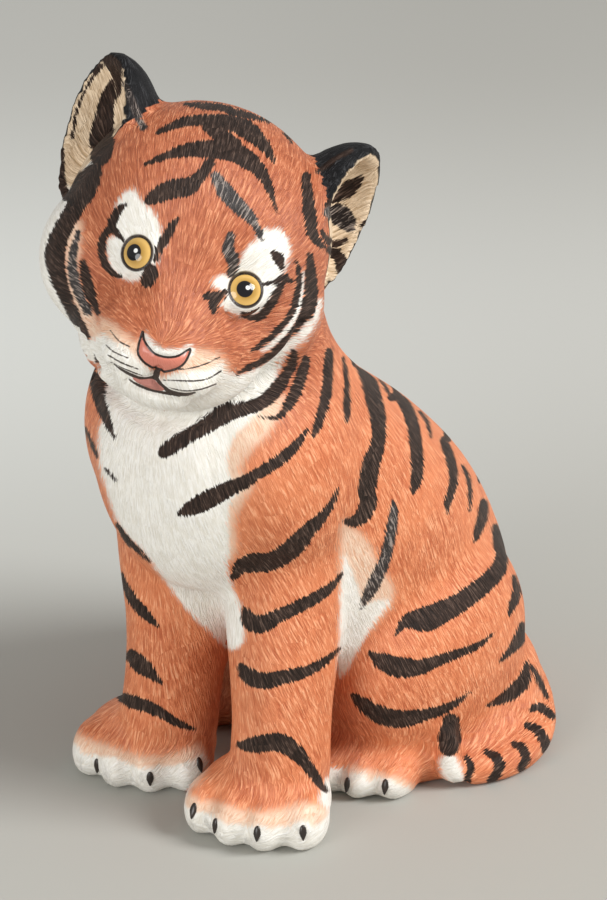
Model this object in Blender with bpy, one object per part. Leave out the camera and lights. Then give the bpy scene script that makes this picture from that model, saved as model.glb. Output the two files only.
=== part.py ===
# A seated tiger cub in hand-painted porcelain, cast in one piece with a flat foot to stand on.
# Metres, +Z up. The cub faces -Y, its left side is +X, and it stands on z = 0.
# Soft forms are rounded solids and lofted tubes, flowed into one skin and trimmed flat below.

import math

import bmesh
import bpy
from mathutils import Euler, Matrix, Vector

# Trunk: a loft of level ovals as (height, centre y, half width, half depth)
TRUNK_SECTIONS = (
    (-0.004, 0.034, 0.034, 0.034),
    (0.015, 0.033, 0.036, 0.038),
    (0.035, 0.029, 0.037, 0.042),
    (0.052, 0.0215, 0.037, 0.0445),
    (0.072, 0.010, 0.037, 0.0435),
    (0.090, -0.0025, 0.0335, 0.0385),
    (0.105, -0.0145, 0.0295, 0.0315),
    (0.118, -0.0215, 0.0265, 0.0275),
    (0.130, -0.0245, 0.0250, 0.0260),
    (0.140, -0.0260, 0.0225, 0.0235),
)
CHEST_CENTRE = (-0.0012, -0.0295, 0.0925)
CHEST_SIZE = (0.0555, 0.041, 0.068)
NAPE_CENTRE = (-0.002, -0.023, 0.126)
NAPE_SIZE = (0.044, 0.042, 0.040)
SHOULDER_CENTRE = (0.0185, -0.0215, 0.093)
SHOULDER_SIZE = (0.035, 0.042, 0.056)
SHOULDER_LEAN = 12

# Forelegs as (x, y, height) down from the shoulder, with half widths and half depths
FORELEG_LEFT = (
    (0.0160, -0.014, 0.090),
    (0.0165, -0.018, 0.062),
    (0.0185, -0.021, 0.045),
    (0.0200, -0.0235, 0.028),
    (0.0200, -0.0245, 0.010),
)
FORELEG_RIGHT = (
    (-0.0165, -0.018, 0.090),
    (-0.0145, -0.021, 0.062),
    (-0.0130, -0.0225, 0.045),
    (-0.0146, -0.0235, 0.028),
    (-0.0164, -0.0245, 0.010),
)
FORELEG_RADII = (
    (0.0150, 0.0200),
    (0.0140, 0.0165),
    (0.0130, 0.0145),
    (0.0118, 0.0128),
    (0.0122, 0.0132),
)
FOREPAW_LEFT = (0.0190, -0.0294)
FOREPAW_RIGHT = (-0.0212, -0.0256)
FOREPAW_TURN = 21
FOREPAW_SIZE = (0.036, 0.034, 0.0195)

# Haunches and hind feet
THIGH_CENTRE = (0.0255, 0.0255, 0.030)
THIGH_SIZE = (0.040, 0.062, 0.062)
RUMP_CENTRE = (0.018, 0.043, 0.012)
RUMP_SIZE = (0.052, 0.044, 0.040)
THIGH_LEAN = -26
HINDPAW_LEFT = (0.0215, 0.0062)
HINDPAW_RIGHT = (-0.0340, 0.010)
HINDPAW_TURN = 14
HINDPAW_SIZE = (0.033, 0.034, 0.015)
HOCK_CENTRE = (0.0312, 0.0252, 0.006)
HOCK_SIZE = (0.028, 0.060, 0.020)
HOCK_TURN = -20

# Shape of every paw, in shares of its own width, length and height
TOES = 4
PALM_SHARE = (0.92, 0.86, 1.10)
PALM_BACK = 0.04
PALM_RISE = 0.38
TOE_SHARE = (1.20, 0.50, 0.80)
TOE_SPREAD = 0.94
TOE_FRONT = 0.25
TOE_RISE = 0.30
TOE_CURVE = 0.20

# Tail: it leaves the rump behind, hugs the left haunch and stands up at its tip
TAIL_RADIUS = 0.0040
TAIL_ROUTE = (
    (0.014, 0.050, 0.018),
    (0.026, 0.0585, 0.015),
    (0.0350, 0.0565, 0.010),
    (0.0418, 0.0515, 0.0060),
    (0.0470, 0.0440, 0.0045),
    (0.0500, 0.0350, 0.0040),
    (0.0495, 0.0275, 0.0036),
    (0.0472, 0.0220, 0.0035),
    (0.0445, 0.0180, 0.0036),
)
TAIL_TIP = (
    (0.0438, 0.0165, 0.0030, 0.0036),
    (0.0425, 0.0135, 0.0070, 0.0036),
    (0.0420, 0.0130, 0.0125, 0.0032),
    (0.0420, 0.0128, 0.0178, 0.0020),
)

# Head, turned to the cub's left, lifted and tilted, in degrees
HEAD_CENTRE = (0.0014, -0.0338, 0.1458)
HEAD_TURN = 42
HEAD_LIFT = 13
HEAD_TILT = 21

# Head forms in the head's own frame: x left, y back, z up, from the head's centre
SKULL_CENTRE = (0.0, 0.002, 0.0050)
SKULL_SIZE = (0.0625, 0.060, 0.062)
CHEEK_CENTRE = (0.0150, -0.001, -0.0056)
CHEEK_SIZE = (0.0380, 0.036, 0.0380)
JAW_CENTRE = (0.001, -0.010, -0.0160)
JAW_SIZE = (0.046, 0.040, 0.037)
MUZZLE_CENTRE = (0.0, -0.0225, -0.0170)
MUZZLE_SIZE = (0.034, 0.028, 0.024)
PAD_CENTRE = (0.0062, -0.0300, -0.0210)
PAD_SIZE = (0.0145, 0.0135, 0.0115)
CHIN_CENTRE = (0.0010, -0.0260, -0.0265)
CHIN_SIZE = (0.019, 0.016, 0.011)
BRIDGE = (
    (0.0, -0.0190, 0.0100, 0.0110, 0.0070),
    (0.0, -0.0235, -0.0020, 0.0100, 0.0060),
    (0.0, -0.0290, -0.0100, 0.0088, 0.0055),
    (0.0, -0.0325, -0.0145, 0.0075, 0.0050),
)
NOSE_CENTRE = (0.0, -0.0350, -0.0165)
NOSE_SIZE = (0.0140, 0.0085, 0.0080)
EYE_CENTRE = (0.0116, -0.0218, 0.0)
EYE_DIAMETER = 0.0108
EAR_CENTRE = (0.0275, 0.006, 0.0175)
EAR_SIZE = (0.027, 0.025, 0.042)
EAR_LEAN = 15
EAR_WALL = 0.0024
EAR_FACING = 60
EAR_OPENING = 0.0045

# Fineness of each skin, and how many rounds soften it
BODY_VOXEL = 0.0016
BODY_ROUNDS = 12
HEAD_ROUNDS = 10
EAR_VOXEL = 0.0007
EAR_ROUNDS = 3
SKIN_VOXEL = 0.0010
SKIN_ROUNDS = 4
BALL_LEVEL = 4
TUBE_SIDES = 32
TUBE_STEPS = 6
FACETS = 11500
GROUND_BLOCK = 0.4

COAT_COLOUR = (0.78, 0.30, 0.15, 1.0)
COAT_ROUGHNESS = 0.55


def place(name, mesh):
    part = bpy.data.objects.new(name, mesh)
    bpy.context.scene.collection.objects.link(part)
    return part


def ball(name, centre, size, turn=(0, 0, 0)):
    """An ellipsoid of the given full size, turned by degrees about its centre."""
    mesh = bpy.data.meshes.new(name)
    bm = bmesh.new()
    bmesh.ops.create_icosphere(bm, subdivisions=BALL_LEVEL, radius=0.5)
    bm.transform(Matrix.Diagonal((*size, 1)))
    bm.transform(Euler([math.radians(a) for a in turn]).to_matrix().to_4x4())
    bm.transform(Matrix.Translation(centre))
    bm.to_mesh(mesh)
    bm.free()
    return place(name, mesh)


def smooth_rows(rows):
    """Rows of numbers followed by a smooth curve that passes through each of them."""
    curve = []
    last = len(rows) - 1
    for i in range(last):
        a, b, c, d = (rows[min(max(k, 0), last)] for k in (i - 1, i, i + 1, i + 2))
        for step in range(TUBE_STEPS):
            t = step / TUBE_STEPS
            curve.append([
                0.5 * (2 * q + (r - p) * t + (2 * p - 5 * q + 4 * r - s) * t**2 + (3 * q - p - 3 * r + s) * t**3)
                for p, q, r, s in zip(a, b, c, d)
            ])
    curve.append(list(rows[last]))
    return curve


def loft(name, rows, level=False):
    """A tube through rows of (x, y, z, half width, half depth), with closed ends."""
    rows = smooth_rows(rows)
    bm = bmesh.new()
    rings = []
    side = Vector((1, 0, 0))
    for i, (x, y, z, half_width, half_depth) in enumerate(rows):
        before, after = rows[max(i - 1, 0)], rows[min(i + 1, len(rows) - 1)]
        along = Vector((0, 0, 1)) if level else (Vector(after[:3]) - Vector(before[:3])).normalized()
        side = (side - along * side.dot(along)).normalized()
        front = along.cross(side)
        ring = []
        for k in range(TUBE_SIDES):
            angle = 2 * math.pi * k / TUBE_SIDES
            offset = side * half_width * math.cos(angle) + front * half_depth * math.sin(angle)
            ring.append(bm.verts.new(Vector((x, y, z)) + offset))
        rings.append(ring)
    for first, second in zip(rings, rings[1:]):
        for k in range(TUBE_SIDES):
            after = (k + 1) % TUBE_SIDES
            bm.faces.new((first[k], first[after], second[after], second[k]))
    bm.faces.new(rings[0])
    bm.faces.new(rings[-1])
    bmesh.ops.recalc_face_normals(bm, faces=bm.faces[:])
    mesh = bpy.data.meshes.new(name)
    bm.to_mesh(mesh)
    bm.free()
    return place(name, mesh)


def settle(part):
    """The object's modifiers made into its mesh."""
    graph = bpy.context.evaluated_depsgraph_get()
    graph.update()
    mesh = bpy.data.meshes.new_from_object(part.evaluated_get(graph))
    part.modifiers.clear()
    part.data = mesh
    return part


def carve(part, cutter):
    """The cutter taken out of the part."""
    cut = part.modifiers.new("Cut", "BOOLEAN")
    cut.operation = "DIFFERENCE"
    cut.solver = "EXACT"
    cut.object = cutter
    settle(part)
    bpy.data.objects.remove(cutter)
    return part


def flow(name, parts, voxel, rounds):
    """Solids that overlap, flowed into one skin and softened."""
    bm = bmesh.new()
    for part in parts:
        bm.from_mesh(part.data)
        bpy.data.objects.remove(part)
    mesh = bpy.data.meshes.new(name)
    bm.to_mesh(mesh)
    bm.free()
    whole = place(name, mesh)
    skin = whole.modifiers.new("Skin", "REMESH")
    skin.mode = "VOXEL"
    skin.voxel_size = voxel
    soften = whole.modifiers.new("Soften", "SMOOTH")
    soften.factor = 0.5
    soften.iterations = rounds
    return settle(whole)


def paw(name, centre, turn, size):
    """A paw with its toes fanned across the front, its sole a little below the ground."""
    width, length, height = size
    toe_width = width / TOES
    palm = [share * side for share, side in zip(PALM_SHARE, size)]
    parts = [ball(name, (0, PALM_BACK * length, PALM_RISE * height), palm)]
    toe = [share * side for share, side in zip(TOE_SHARE, (toe_width, length, height))]
    for k in range(TOES):
        across = (k - (TOES - 1) / 2) * toe_width
        inset = TOE_CURVE * (2 * across / width) ** 2 - TOE_FRONT
        parts.append(ball(name, (TOE_SPREAD * across, inset * length, TOE_RISE * height), toe))
    frame = Matrix.Translation((*centre, 0)) @ Matrix.Rotation(math.radians(turn), 4, "Z")
    for part in parts:
        part.data.transform(frame)
    return parts


def mirrored(centre, side):
    return (side * centre[0], centre[1], centre[2])


def cut_open(part, point, normal):
    """The part kept behind a plane, with the cut closed."""
    bm = bmesh.new()
    bm.from_mesh(part.data)
    every = bm.verts[:] + bm.edges[:] + bm.faces[:]
    cut = bmesh.ops.bisect_plane(bm, geom=every, plane_co=point, plane_no=normal, clear_outer=True)
    rim = [e for e in cut["geom_cut"] if isinstance(e, bmesh.types.BMEdge)]
    bmesh.ops.edgeloop_fill(bm, edges=rim)
    bm.to_mesh(part.data)
    bm.free()


def ear(side):
    """A cupped ear: an egg-shaped shell, open to the front and outer side."""
    centre = Vector(mirrored(EAR_CENTRE, side))
    lean = (0, side * EAR_LEAN, 0)
    angle = math.radians(EAR_FACING)
    facing = Vector((side * math.sin(angle), -math.cos(angle), 0))
    shell = ball("ear", centre, EAR_SIZE, lean)
    cut_open(shell, centre + facing * EAR_OPENING, facing)
    inside = [size - 2 * EAR_WALL for size in EAR_SIZE]
    carve(shell, ball("hollow", centre + facing * EAR_OPENING, inside, lean))
    return flow("ear", [shell], EAR_VOXEL, EAR_ROUNDS)


def head():
    """The head, modelled upright and then set in its pose."""
    parts = [
        ball("skull", SKULL_CENTRE, SKULL_SIZE),
        ball("jaw", JAW_CENTRE, JAW_SIZE),
        ball("muzzle", MUZZLE_CENTRE, MUZZLE_SIZE),
        ball("chin", CHIN_CENTRE, CHIN_SIZE),
        ball("nose", NOSE_CENTRE, NOSE_SIZE),
        loft("bridge", BRIDGE),
    ]
    for side in (-1, 1):
        parts.append(ball("cheek", mirrored(CHEEK_CENTRE, side), CHEEK_SIZE))
        parts.append(ball("pad", mirrored(PAD_CENTRE, side), PAD_SIZE))
    soft = flow("head", parts, SKIN_VOXEL, HEAD_ROUNDS)
    parts = [soft]
    for side in (-1, 1):
        parts.append(ball("eye", mirrored(EYE_CENTRE, side), (EYE_DIAMETER,) * 3))
        parts.append(ear(side))
    pose = (
        Matrix.Translation(HEAD_CENTRE)
        @ Matrix.Rotation(math.radians(HEAD_TURN), 4, "Z")
        @ Matrix.Rotation(math.radians(-HEAD_LIFT), 4, "X")
        @ Matrix.Rotation(math.radians(HEAD_TILT), 4, "Y")
    )
    for part in parts:
        part.data.transform(pose)
    return parts


def body():
    trunk = loft("trunk", [(0, y, z, w, d) for z, y, w, d in TRUNK_SECTIONS], level=True)
    parts = [
        trunk,
        ball("chest", CHEST_CENTRE, CHEST_SIZE),
        ball("nape", NAPE_CENTRE, NAPE_SIZE),
        ball("rump", RUMP_CENTRE, RUMP_SIZE),
    ]
    for side in (-1, 1):
        parts.append(ball("thigh", mirrored(THIGH_CENTRE, side), THIGH_SIZE, (THIGH_LEAN, 0, 0)))
        parts.append(ball("hock", mirrored(HOCK_CENTRE, side), HOCK_SIZE, (0, 0, side * HOCK_TURN)))
        parts.append(ball("shoulder", mirrored(SHOULDER_CENTRE, side), SHOULDER_SIZE, (SHOULDER_LEAN, 0, 0)))
    for route in (FORELEG_LEFT, FORELEG_RIGHT):
        parts.append(loft("foreleg", [(*spot, *radii) for spot, radii in zip(route, FORELEG_RADII)]))
    return flow("body", parts, BODY_VOXEL, BODY_ROUNDS)


def figure():
    parts = [body(), *head()]
    parts += paw("forepaw_left", FOREPAW_LEFT, FOREPAW_TURN, FOREPAW_SIZE)
    parts += paw("forepaw_right", FOREPAW_RIGHT, FOREPAW_TURN, FOREPAW_SIZE)
    parts += paw("hindpaw_left", HINDPAW_LEFT, HINDPAW_TURN, HINDPAW_SIZE)
    parts += paw("hindpaw_right", HINDPAW_RIGHT, -HINDPAW_TURN, HINDPAW_SIZE)
    parts.append(loft("tail", [(*spot, TAIL_RADIUS, TAIL_RADIUS) for spot in TAIL_ROUTE]))
    parts.append(loft("tail_tip", [(*spot, radius, radius) for *spot, radius in TAIL_TIP]))
    return flow("tiger_figurine", parts, SKIN_VOXEL, SKIN_ROUNDS)


def thin_out(part):
    """Fewer facets, kept where the form curves most."""
    thin = part.modifiers.new("Thin", "DECIMATE")
    thin.ratio = FACETS / (2 * len(part.data.polygons))
    return settle(part)


def trim_flat(part):
    """The sole, cut flat on the ground."""
    mesh = bpy.data.meshes.new("ground")
    bm = bmesh.new()
    bmesh.ops.create_cube(bm, size=GROUND_BLOCK)
    bm.transform(Matrix.Translation((0, 0, -GROUND_BLOCK / 2)))
    bm.to_mesh(mesh)
    bm.free()
    return carve(part, place("ground", mesh))


def centre_on_origin(part):
    """The middle of the figure's outer box, seen from above, set over the origin."""
    spots = [v.co for v in part.data.vertices]
    middle_x = (min(p.x for p in spots) + max(p.x for p in spots)) / 2
    middle_y = (min(p.y for p in spots) + max(p.y for p in spots)) / 2
    part.data.transform(Matrix.Translation((-middle_x, -middle_y, 0)))
    return part


def finish(part):
    """Satin painted porcelain in the coat's orange."""
    coat = bpy.data.materials.new("painted_porcelain")
    coat.use_nodes = True
    shader = coat.node_tree.nodes["Principled BSDF"]
    shader.inputs["Base Color"].default_value = COAT_COLOUR
    shader.inputs["Roughness"].default_value = COAT_ROUGHNESS
    shader.inputs["Metallic"].default_value = 0.0
    part.data.materials.append(coat)
    part.data.shade_smooth()


for old in list(bpy.data.objects):
    bpy.data.objects.remove(old)
finish(centre_on_origin(trim_flat(thin_out(figure()))))
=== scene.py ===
import math

import bmesh
import bpy
import numpy as np
from mathutils import Matrix, Vector
from mathutils.bvhtree import BVHTree


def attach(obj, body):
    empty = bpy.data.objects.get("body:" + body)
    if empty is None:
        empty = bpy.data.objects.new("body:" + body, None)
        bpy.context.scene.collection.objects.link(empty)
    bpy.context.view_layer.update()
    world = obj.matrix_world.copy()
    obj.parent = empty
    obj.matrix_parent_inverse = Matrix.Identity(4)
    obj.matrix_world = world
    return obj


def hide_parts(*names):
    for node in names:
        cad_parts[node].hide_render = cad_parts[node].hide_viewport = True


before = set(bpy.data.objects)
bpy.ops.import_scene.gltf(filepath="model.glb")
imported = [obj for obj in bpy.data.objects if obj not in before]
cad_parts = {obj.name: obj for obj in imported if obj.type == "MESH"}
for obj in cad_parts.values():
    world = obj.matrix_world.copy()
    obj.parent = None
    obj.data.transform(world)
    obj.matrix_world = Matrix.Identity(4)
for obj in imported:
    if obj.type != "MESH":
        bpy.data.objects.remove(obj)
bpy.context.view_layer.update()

# Camera of the photograph, in degrees, metres and pixels
VIEW_TURN = 40
VIEW_RISE = 25
VIEW_DISTANCE = 1.1
VIEW_TARGET = Vector((-0.01771, 0.02931, 0.06890))
PICTURE_WIDTH = 607
PICTURE_HEIGHT = 900
FOCAL_PIXELS = 4400
SENSOR = 36

# Pose of the head, and the eyes in its own frame: x left, y back, z up
HEAD_CENTRE = Vector((0.00019, -0.03259, 0.14580))
HEAD_TURN = 42
HEAD_LIFT = 13
HEAD_TILT = 21
EYE_RADIUS = 0.0054
IRIS_SPOTS = (Vector((-0.0131, -0.0252, 0.0003)), Vector((0.0127, -0.0256, 0.0009)))
EYE_AXES = (Vector((-0.55, -0.83, 0.08)).normalized(), Vector((0.10, -0.92, 0.38)).normalized())
PUPIL_AXES = (Vector((-0.60, -0.79, 0.06)).normalized(), Vector((0.02, -0.92, 0.36)).normalized())
IRIS_RADIUS = 0.0035
IRIS_DEPTH = 0.0042
PUPIL_RADIUS = 0.0019
# Painted highlight in each eye: its shift from the pupil's axis, and its radius
HIGHLIGHT_SHIFT = Vector((0.10, 0.0, 0.10))
HIGHLIGHT_RADIUS = 0.0005
RIM_RADIUS = 0.0037
RIM_THICKNESS = 0.00026
LID_REACH = 0.0085
LID_PROUD = 0.0003
LID_FLOOR = 0.0022
LID_FAR = 0.02
NOSE_TIP = Vector((0, -0.040, -0.017))

# Skull and ears in the head's own frame; reaches are shares of their own size
SKULL_CENTRE = (0.0, 0.002, 0.0050)
SKULL_SIZE = (0.0625, 0.060, 0.062)
EAR_CENTRE = (0.0275, 0.006, 0.0175)
EAR_SIZE = (0.027, 0.025, 0.042)
EAR_LEAN = 15
EAR_FOOT = 0.003
EAR_REACH = 1.15
SKULL_REACH = 1.03
CUP_OUT, CUP_AHEAD = 0.005, 0.003
CUP_EDGE, CUP_SOFT = 0.92, 0.08

# Middles of the paws, seen from above, and the reach of their white toes
PAWS = ((0.0178, -0.0282), (-0.0224, -0.0244), (0.0203, 0.0074), (-0.0352, 0.0112))
TOE_HEIGHT = 0.0075
TOE_AHEAD = 0.007
TOE_SPREAD = 0.4
TOE_BESIDE = 0.022

# For strokes on the hidden side: the y of the trunk's middle at heights in millimetres, and how far out
# the rays towards trunk and head start
TRUNK_HEIGHTS = (0, 50, 90, 125)
TRUNK_MIDDLES = (0.034, 0.022, -0.001, -0.028)
TRUNK_OUTSIDE = 0.2
HEAD_OUTSIDE = 0.046

# Fineness of the skin, and the parts of the head's front that are split again
WELD = 1e-6
SKIN_VOXEL = 0.00140
SKIN_ROUNDS = 2
FACE_START, FACE_LOW, FACE_HIGH = -0.012, -0.034, 0.024
MUZZLE_START, MUZZLE_LOW, MUZZLE_HIGH = -0.021, -0.032, 0.007
EDGE_BAND = 0.0009
PATH_STEPS = 3

# How the paint's edges are measured: lengths in metres, how squarely a surface faces the camera (1 to -1),
# and how much its edges shrink where it turns away
MILLIMETRE = 0.001
PIXEL = MILLIMETRE / 4.2
FAR = 0.006
DEEPEST = 0.002
HIDDEN_BEYOND = 0.018
OUTLINE_NEARER = 0.03
STROKE_SLACK = 3
GRAZING = 0.1
BACK_FACING = -0.3
SEEN_SHRINK, LAID_SHRINK, OUTLINE_SHRINK = 0.006, 0.004, 0.02

# Depth and width of the grooves pressed into the skin
MOUTH_GROOVE = (0.0009, 0.0006)
NOSE_GROOVE = (0.0004, 0.0005)
RUFF_GROOVE = (0.0022, 0.0014)

# Painted strokes: each point's place in the photograph and half width there, in pixels
CROWN_STRIPES = (
    ((184, 104, 1), (205, 106, 3.5), (222, 108, 3.5), (240, 114, 4), (262, 119, 2), (280, 128, 1.5),
     (292, 143, 0.7)),
    ((157, 133, 1.5), (170, 127, 3.5), (185, 122, 5), (202, 120, 5.5), (220, 121, 7), (240, 126, 9),
     (255, 136, 8), (267, 149, 5), (275, 163, 1.5)),
    ((208, 126, 6), (222, 136, 8), (236, 146, 7)),
    ((146, 164, 1.5), (160, 158, 3), (175, 153, 5), (190, 150, 7), (208, 149, 9), (232, 152, 9),
     (248, 160, 9), (261, 172, 6), (270, 190, 3.5), (277, 212, 1)),
    ((149, 201, 4), (158, 195, 8), (172, 189, 9), (187, 187, 9), (199, 178, 6), (210, 163, 5)),
)
GREY_STRIPES = (
    ((216, 176, 5), (224, 190, 8), (235, 202, 7.5), (246, 213, 6.5), (256, 225, 4), (262, 240, 1.5)),
    ((231, 236, 4), (228, 250, 6), (234, 262, 6), (232, 273, 4)),
    ((394, 503, 2.5), (393, 520, 5), (390, 538, 5), (386, 556, 5.5), (379, 573, 6), (371, 589, 6),
     (361, 608, 1.5)),
    ((124, 84, 3), (133, 104, 4), (143, 127, 4)),
    ((330, 212, 7), (341, 216, 11), (350, 226, 7)),
    ((78, 232, 2), (72, 260, 4), (76, 285, 5), (88, 312, 4)),
)
EYE_STRIPES = (
    ((124, 205, 2), (116, 214, 4), (112, 225, 4), (116, 233, 3), (123, 240, 1.2)),
    ((110, 228, 3), (102, 240, 3.5), (102, 253, 3.5), (106, 265, 3.5), (113, 273, 3), (121, 277, 1)),
    ((177, 219, 2), (172, 227, 4), (165, 239, 4.5), (160, 250, 3.5), (157, 260, 1.5)),
    ((149, 266, 4), (151, 274, 7), (147, 282, 6)),
    ((274, 254, 3.5), (279, 259, 5), (281, 267, 2.5)),
    ((262, 285, 1.2), (275, 282, 2), (284, 278, 4), (291, 281, 2)),
    ((226, 292, 2.5), (216, 295, 4), (206, 296, 3)),
    ((222, 296, 3), (214, 302, 5), (214, 312, 2)),
    ((240, 315, 1), (255, 318, 3), (265, 312, 4), (272, 301, 4.5), (278, 291, 4), (283, 283, 2)),
)
CHEEK_STRIPES = (
    ((94, 172, 8), (84, 187, 13), (74, 209, 9), (60, 235, 9), (55, 255, 10), (58, 277, 8), (66, 298, 6),
     (77, 320, 5.5), (88, 337, 2)),
    ((83, 262, 3), (87, 282, 5.5), (92, 299, 5), (98, 313, 2)),
    ((297, 262, 1.5), (299, 276, 2.5), (297, 295, 3), (292, 312, 3), (280, 328, 3), (266, 341, 2.5),
     (250, 352, 1)),
    ((310, 256, 3), (311, 280, 6), (310, 300, 7), (305, 318, 6.5), (297, 333, 6), (284, 346, 5.5),
     (268, 358, 4), (252, 366, 3), (237, 374, 1)),
)
MOUTH_LINES = (
    ((158, 371, 2.2), (156, 376, 2.8), (155, 380, 2.4)),
    ((155, 379, 1.7), (146, 381, 1.6), (136, 380, 1.5), (126, 376, 1.4), (117, 371, 1.0), (111, 366, 0.5)),
    ((155, 379, 1.7), (160, 386, 1.7), (168, 393, 1.8), (178, 397, 1.8), (188, 398, 1.5), (196, 396, 0.9)),
    ((127, 382, 0.7), (134, 386, 1.1), (145, 390, 1.3), (156, 393, 1.4), (168, 396, 1.4), (180, 399, 1)),
)
WHISKER_LINES = (
    ((163, 380, 0.5), (190, 381, 0.7), (207, 379, 0.6), (221, 371, 0.7)),
    ((168, 388, 0.6), (186, 391, 0.6), (202, 389, 0.6), (216, 384, 0.6)),
    ((178, 370, 0.5), (200, 366, 0.6), (220, 357, 0.7)),
    ((110, 363, 0.6), (124, 369, 0.7), (142, 376, 0.6)),
    ((108, 355, 0.6), (122, 363, 0.7), (138, 369, 0.5)),
    ((106, 345, 0.5), (114, 352, 0.6), (128, 358, 0.5)),
    ((110, 330, 0.5), (119, 341, 0.6), (130, 347, 0.5)),
)
EAR_BLACKS = (
    ((112, 82, 3), (108, 98, 7), (105, 116, 9), (102, 136, 12), (101, 152, 11), (97, 164, 4)),
    ((106, 58, 5), (114, 66, 7), (118, 80, 4), (118, 96, 2)),
    ((100, 66, 3), (88, 85, 1.2), (77, 110, 1.2), (72, 138, 1.6)),
    ((62, 150, 2), (61, 180, 4), (66, 196, 5)),
    ((326, 205, 2), (338, 197, 5), (350, 188, 7), (362, 177, 2)),
    ((306, 176, 4), (309, 207, 6), (313, 234, 5), (322, 246, 3)),
    ((318, 172, 2), (334, 160, 2), (352, 150, 2)),
    ((322, 232, 2), (332, 244, 4), (346, 240, 2)),
    ((330, 250, 4), (342, 262, 6), (338, 280, 6)),
    ((381, 152, 1), (382, 180, 1.5), (375, 207, 1.2), (361, 228, 1.2), (360, 250, 2), (349, 276, 2)),
)
CHEST_STRIPES = (
    ((164, 452, 6), (175, 444, 7.5), (190, 435, 7), (206, 427, 7), (222, 418, 7), (236, 412, 6),
     (250, 408, 6), (263, 402, 6.5), (275, 391, 6.5), (285, 378, 5), (292, 366, 3.5), (297, 355, 2)),
    ((260, 417, 0.8), (276, 418, 1.5), (286, 409, 4), (294, 395, 6), (301, 378, 5.5), (306, 360, 4)),
    ((182, 513, 4), (194, 507, 8), (210, 499, 9), (225, 491, 8), (240, 484, 6.5), (256, 475, 5.5),
     (271, 466, 5.5), (285, 456, 5.5), (298, 443, 4), (307, 430, 1.5)),
    ((313, 437, 2), (317, 428, 3.8), (321, 415, 4.5), (326, 395, 5), (328, 375, 5), (329, 352, 4)),
    ((347, 421, 2), (347, 408, 3.5), (347, 390, 2.5), (346, 372, 2), (343, 358, 1)),
    ((358, 367, 2), (368, 380, 7), (373, 395, 8), (377, 412, 8), (379, 430, 7), (377, 447, 7),
     (372, 461, 8.5), (369, 476, 9), (367, 490, 8.5), (368, 505, 8.5), (362, 517, 7), (352, 522, 5),
     (345, 522, 1.5)),
)
FORELEG_STRIPES = (
    ((234, 577, 3), (241, 567, 7), (252, 563, 9.5), (270, 562, 9), (285, 554, 9.5), (296, 545, 9.5),
     (308, 531, 7.5), (322, 517, 5), (332, 503, 3), (338, 489, 1)),
    ((245, 610, 3), (250, 621, 8.5), (262, 624, 8.5), (276, 617, 7), (292, 610, 6), (306, 603, 6),
     (320, 595, 5.5), (333, 585, 3.5), (342, 573, 1)),
    ((241, 667, 4), (249, 676, 8), (263, 681, 8), (280, 678, 7), (298, 674, 6), (314, 668, 4.5),
     (329, 658, 3), (340, 648, 1)),
    ((241, 745, 4), (252, 745, 7.5), (266, 743, 8.5), (281, 743, 9), (293, 750, 8), (303, 760, 6),
     (312, 772, 5), (320, 784, 4), (326, 791, 2)),
    ((91, 360, 4), (93, 376, 5), (97, 393, 5), (103, 410, 5), (109, 426, 3), (115, 439, 1)),
    ((85, 428, 1.5), (92, 445, 2), (98, 458, 1)),
    ((105, 468, 0.8), (110, 474, 1.3), (115, 480, 0.8)),
    ((117, 524, 1.5), (127, 540, 3), (139, 551, 2.5), (150, 562, 1)),
    ((121, 574, 2), (127, 590, 4), (136, 604, 5), (146, 615, 4.5), (158, 626, 1)),
    ((131, 656, 6), (140, 664, 8.5), (149, 672, 6), (163, 684, 1)),
    ((122, 697, 5), (133, 702, 6.5), (146, 706, 6), (159, 712, 5), (172, 720, 4), (184, 726, 3),
     (195, 729, 1)),
)
FLANK_STRIPES = (
    ((379, 378, 1), (385, 386, 2), (391, 397, 0.7)),
    ((397, 394, 3), (404, 403, 5.5), (410, 415, 6), (414, 430, 6), (416, 446, 6), (417, 461, 6),
     (417, 475, 6), (415, 485, 4.5), (413, 493, 1.5)),
    ((420, 412, 1.5), (427, 421, 2), (431, 437, 0.7)),
    ((443, 440, 3), (448, 452, 4.5), (452, 466, 4.5), (454, 479, 4.5), (451, 493, 4), (448, 503, 3.5),
     (447, 514, 1)),
    ((463, 466, 1.5), (469, 481, 2), (470, 496, 1.8), (470, 511, 0.6)),
    ((484, 503, 4), (483, 516, 5), (479, 528, 4.5), (475, 541, 1.5)),
    ((496, 528, 4), (500, 542, 7), (502, 555, 6.5), (498, 570, 7.5), (486, 583, 8.5), (471, 595, 9.5),
     (456, 605, 10), (442, 612, 11), (427, 619, 12), (412, 620, 8), (402, 625, 4), (396, 635, 1)),
    ((514, 577, 2), (517, 592, 4), (513, 604, 4), (509, 615, 1)),
)
THIGH_STRIPES = (
    ((371, 654, 3), (383, 662, 8), (398, 667, 10), (416, 668, 8), (434, 662, 6), (451, 656, 4.5),
     (468, 650, 3.5), (482, 643, 2.5), (493, 634, 1)),
    ((352, 695, 2), (362, 703, 6), (374, 712, 8), (390, 718, 9), (406, 719, 8), (424, 715, 6),
     (441, 710, 4.5), (456, 703, 3), (470, 692, 1)),
    ((527, 663, 2), (524, 680, 6.5), (513, 692, 7), (499, 701, 4), (487, 706, 1)),
    ((522, 624, 2.5), (520, 638, 6), (511, 650, 4), (500, 662, 1)),
)
TAIL_STRIPES = (
    ((532, 667, 2), (540, 682, 3), (547, 697, 2)),
    ((531, 710, 2), (540, 707, 4.5), (552, 716, 3.5)),
    ((527, 725, 3), (537, 730, 4.5), (545, 741, 5), (544, 751, 3)),
    ((514, 744, 3), (522, 748, 4.2), (526, 758, 4.5), (521, 770, 3)),
    ((487, 752, 3), (497, 758, 4.5), (499, 769, 5), (491, 781, 4)),
    ((467, 758, 2.5), (471, 768, 3.4), (467, 781, 3)),
    ((451, 722, 8), (450, 736, 11), (449, 746, 10)),
)
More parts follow.
